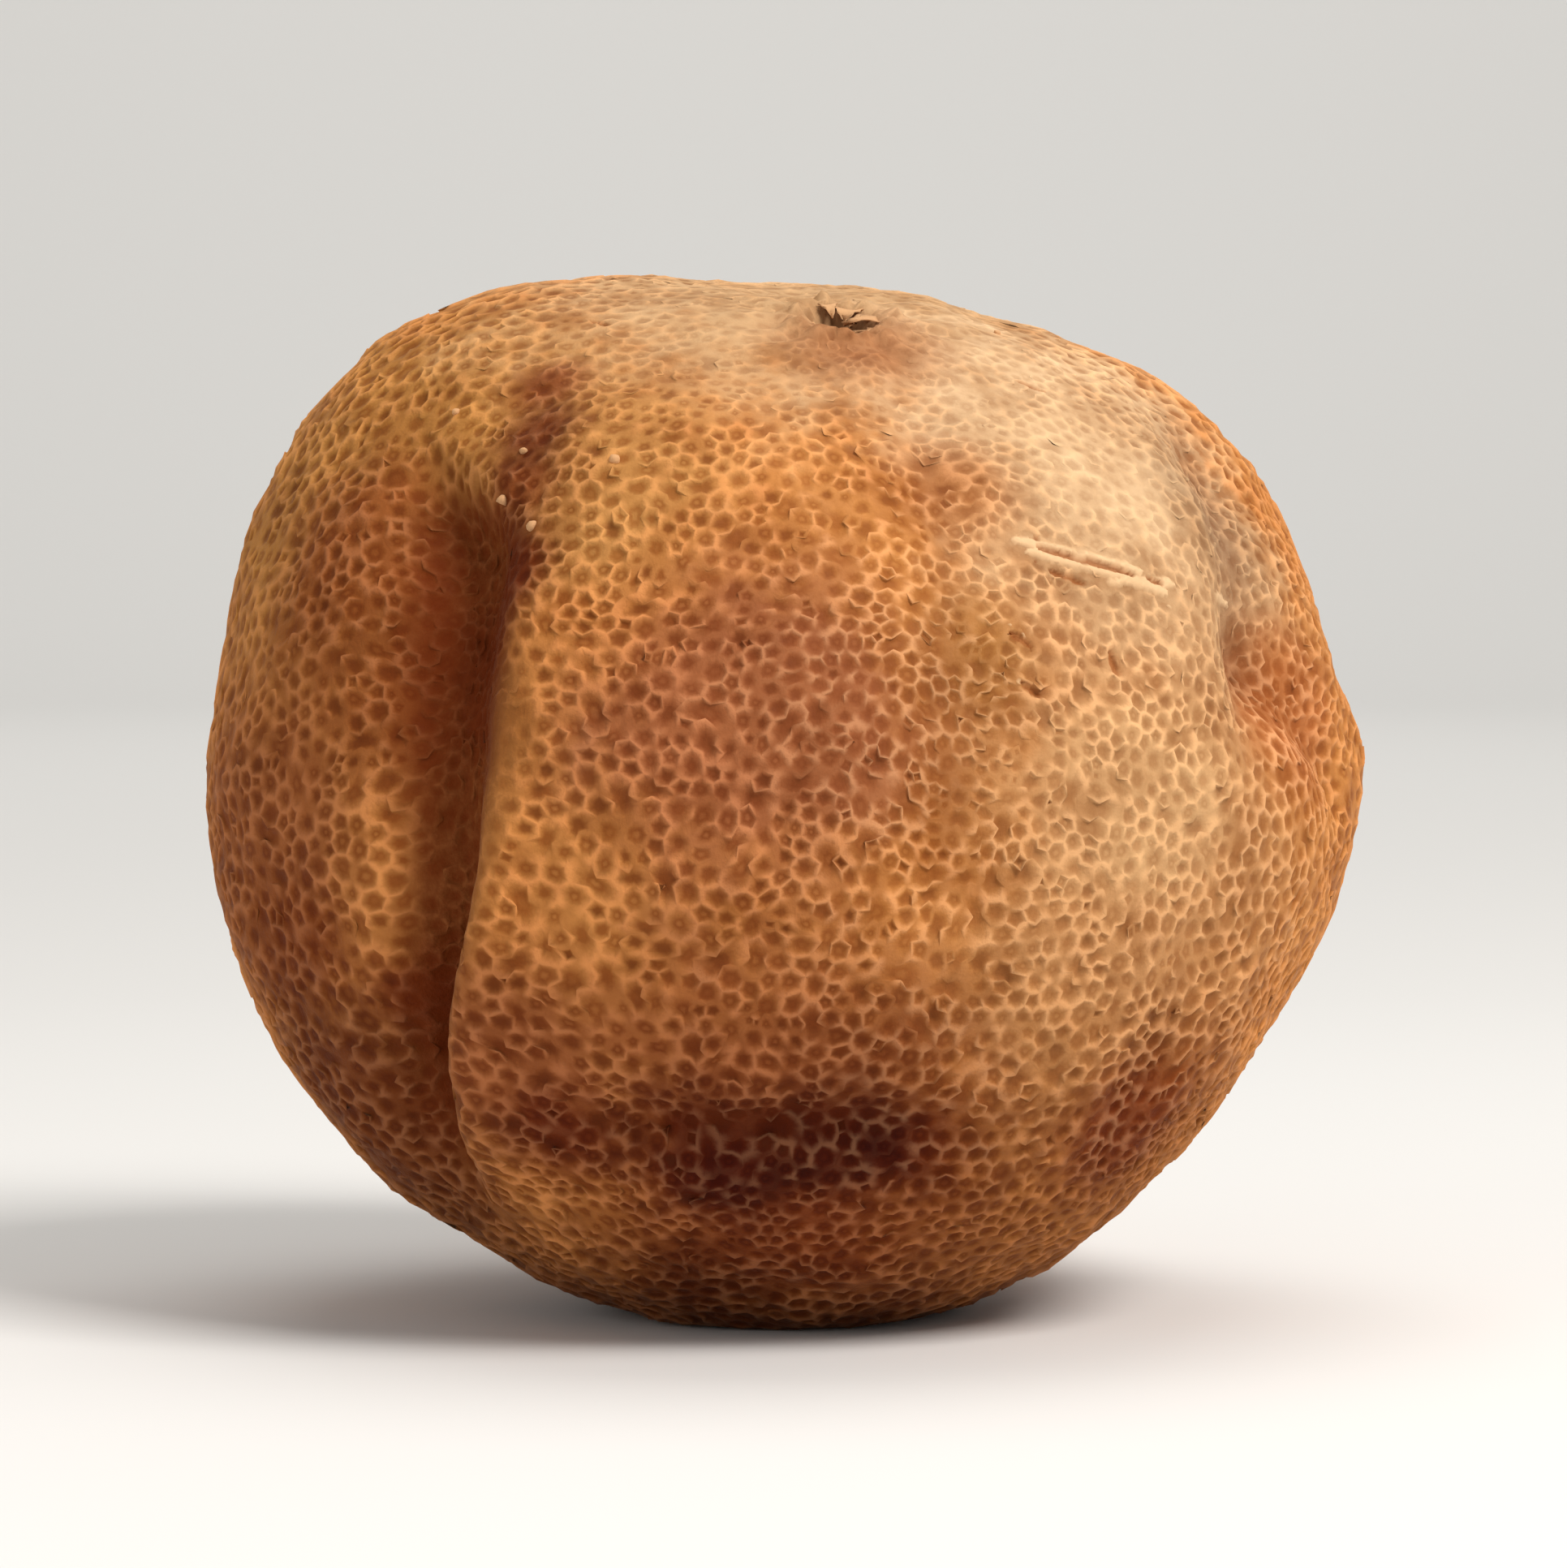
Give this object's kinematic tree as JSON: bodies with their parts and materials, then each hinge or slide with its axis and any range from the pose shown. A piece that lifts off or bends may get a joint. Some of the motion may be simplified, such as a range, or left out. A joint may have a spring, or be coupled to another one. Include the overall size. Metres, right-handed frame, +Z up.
{
  "type": "dried lime",
  "caption": "Whole dried lime: round fruit with a raised net over its rind, soft furrows, a deep overhanging crease, a stalk scar on top and a small flat spot to rest on.",
  "frame": {"origin": "on the surface that the fruit rests on, under the middle of its outline", "axes": "+Z up; the front, with the deep crease left of its middle, faces -Y; +X to the right as seen from the front. The stalk scar is on top and leans to the front and right."},
  "size_m": [0.0418, 0.0412, 0.0378],
  "materials": {
    "rind": "satin, leathery, tan to red-brown with a pale net"
  },
  "bodies": {
    "root": {"dried_lime": "rind"}
  },
  "joints": []
}
